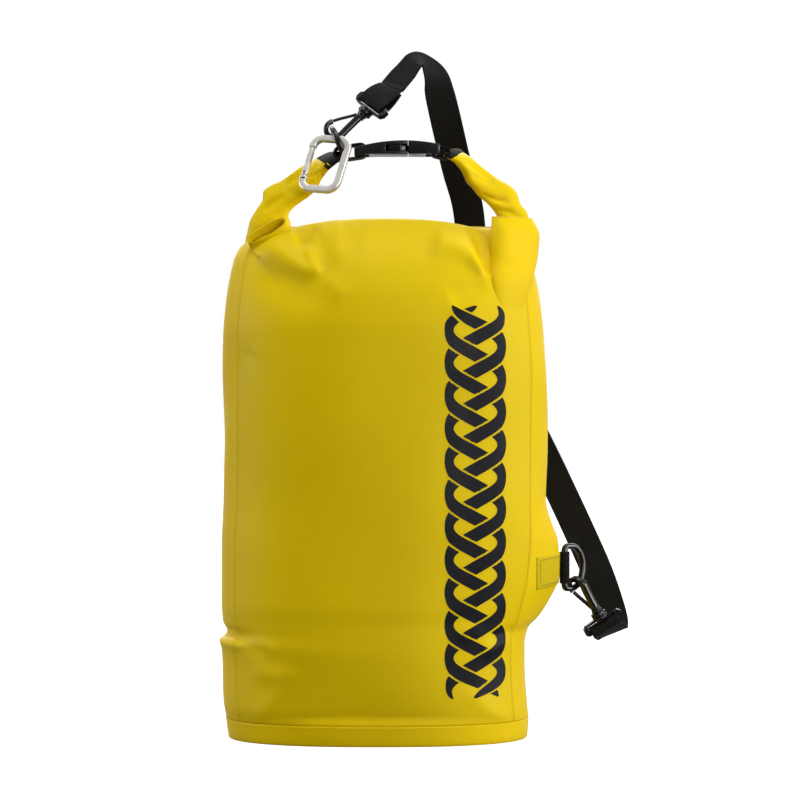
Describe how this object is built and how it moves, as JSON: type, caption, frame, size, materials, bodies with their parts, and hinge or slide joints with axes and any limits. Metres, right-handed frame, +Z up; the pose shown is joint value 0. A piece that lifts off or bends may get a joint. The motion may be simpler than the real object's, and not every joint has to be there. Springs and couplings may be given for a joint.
{
  "type": "roll-top dry bag",
  "caption": "Stuffed yellow roll-top dry bag with a side-release buckle carry handle, metal snap link and detachable black shoulder strap on swivel snap hooks.",
  "frame": {"origin": "centre of the flat base, on the surface the bag stands on", "axes": "+Z up, -Y the printed front, +X towards the strap tab"},
  "size_m": [0.3281, 0.2026, 0.5466],
  "materials": {
    "coated_fabric": "bright yellow coated fabric, fine weave under a satin film",
    "black_webbing": "black ribbed polyester webbing",
    "olive_webbing": "yellow-olive webbing seen through a welded clear film, box stitched",
    "black_plastic": "moulded black acetal, semi-gloss",
    "satin_aluminium": "satin silver anodised",
    "steel_pin": "plain steel rivet"
  },
  "bodies": {
    "bag": {"base_panel": "coated_fabric", "base_weld_band": "coated_fabric", "front_panel": "coated_fabric", "back_panel": "coated_fabric", "side_panel_left": "coated_fabric", "side_panel_right": "coated_fabric", "rolled_top": "coated_fabric", "arm_left": "coated_fabric", "arm_right": "coated_fabric", "closure_tab_left": "black_webbing", "buckle_socket": "black_plastic", "lower_tab": "olive_webbing", "strap_main": "black_webbing", "strap_slider": "black_plastic"},
    "buckle_male": {"buckle_plug": "black_plastic", "closure_tab_right": "black_webbing"},
    "prong_front": {"buckle_prong_front": "black_plastic"},
    "prong_rear": {"buckle_prong_rear": "black_plastic"},
    "upper_ring": {"d_ring_upper": "black_plastic", "upper_snap_base": "black_plastic", "strap_end_upper": "black_webbing"},
    "upper_hook": {"upper_snap_hook": "black_plastic"},
    "upper_gate": {"upper_snap_gate": "black_plastic"},
    "snap_link": {"snap_link_frame": "satin_aluminium", "snap_link_rivet": "steel_pin"},
    "link_gate": {"snap_link_gate": "satin_aluminium"},
    "lower_ring": {"d_ring_lower": "black_plastic", "lower_snap_base": "black_plastic", "strap_end_lower": "black_webbing"},
    "lower_hook": {"lower_snap_hook": "black_plastic"},
    "lower_gate": {"lower_snap_gate": "black_plastic"}
  },
  "joints": [
    {"name": "buckle_release", "type": "slide", "parent": "bag", "child": "buckle_male", "axis": [1, 0, 0], "range_m": [0, 0.035], "deforming": ["arm_right"]},
    {"name": "prong_front_squeeze", "type": "hinge", "parent": "buckle_male", "child": "prong_front", "pos_m": [0.0238, 0.0058, 0.4698], "axis": [0, 0, -1], "range_deg": [0, 8], "stiffness_Nm_per_rad": 0.12},
    {"name": "prong_rear_squeeze", "type": "hinge", "parent": "buckle_male", "child": "prong_rear", "pos_m": [0.0238, 0.0242, 0.4698], "axis": [0, 0, 1], "range_deg": [0, 8], "stiffness_Nm_per_rad": 0.12},
    {"name": "upper_ring_tilt", "type": "hinge", "parent": "bag", "child": "upper_ring", "pos_m": [-0.028, 0.014, 0.4665], "axis": [0, 1, 0], "range_deg": [-6, 8], "deforming": ["strap_main"]},
    {"name": "upper_hook_swivel", "type": "hinge", "parent": "upper_ring", "child": "upper_hook", "pos_m": [-0.0127, 0.0219, 0.4985], "axis": [-0.7132, -0.148, -0.6852], "range_deg": [-5, 5]},
    {"name": "upper_gate_open", "type": "hinge", "parent": "upper_hook", "child": "upper_gate", "pos_m": [-0.02636, 0.02195, 0.50264], "axis": [0.0463, -0.9853, 0.1647], "range_deg": [0, 16], "stiffness_Nm_per_rad": 0.05},
    {"name": "snap_link_swing", "type": "hinge", "parent": "upper_ring", "child": "snap_link", "pos_m": [-0.03625, 0.006, 0.4771], "axis": [-0.9262, 0.3611, -0.108], "range_deg": [0, 20]},
    {"name": "snap_link_gate_open", "type": "hinge", "parent": "snap_link", "child": "link_gate", "pos_m": [-0.05245, -0.00188, 0.44713], "axis": [0.3718, 0.8285, -0.4188], "range_deg": [0, 20], "stiffness_Nm_per_rad": 0.05},
    {"name": "lower_ring_swing", "type": "hinge", "parent": "bag", "child": "lower_ring", "pos_m": [0.149, -0.006, 0.1343], "axis": [0, 0, 1], "range_deg": [-25, 25], "deforming": ["strap_main"]},
    {"name": "lower_hook_swivel", "type": "hinge", "parent": "lower_ring", "child": "lower_hook", "pos_m": [0.1756, 0.0064, 0.0987], "axis": [-0.458, -0.27, 0.847], "range_deg": [-5, 5]},
    {"name": "lower_gate_open", "type": "hinge", "parent": "lower_hook", "child": "lower_gate", "pos_m": [0.16323, 0.01265, 0.10215], "axis": [0.498, 0.7113, 0.496], "range_deg": [0, 16], "stiffness_Nm_per_rad": 0.05}
  ]
}
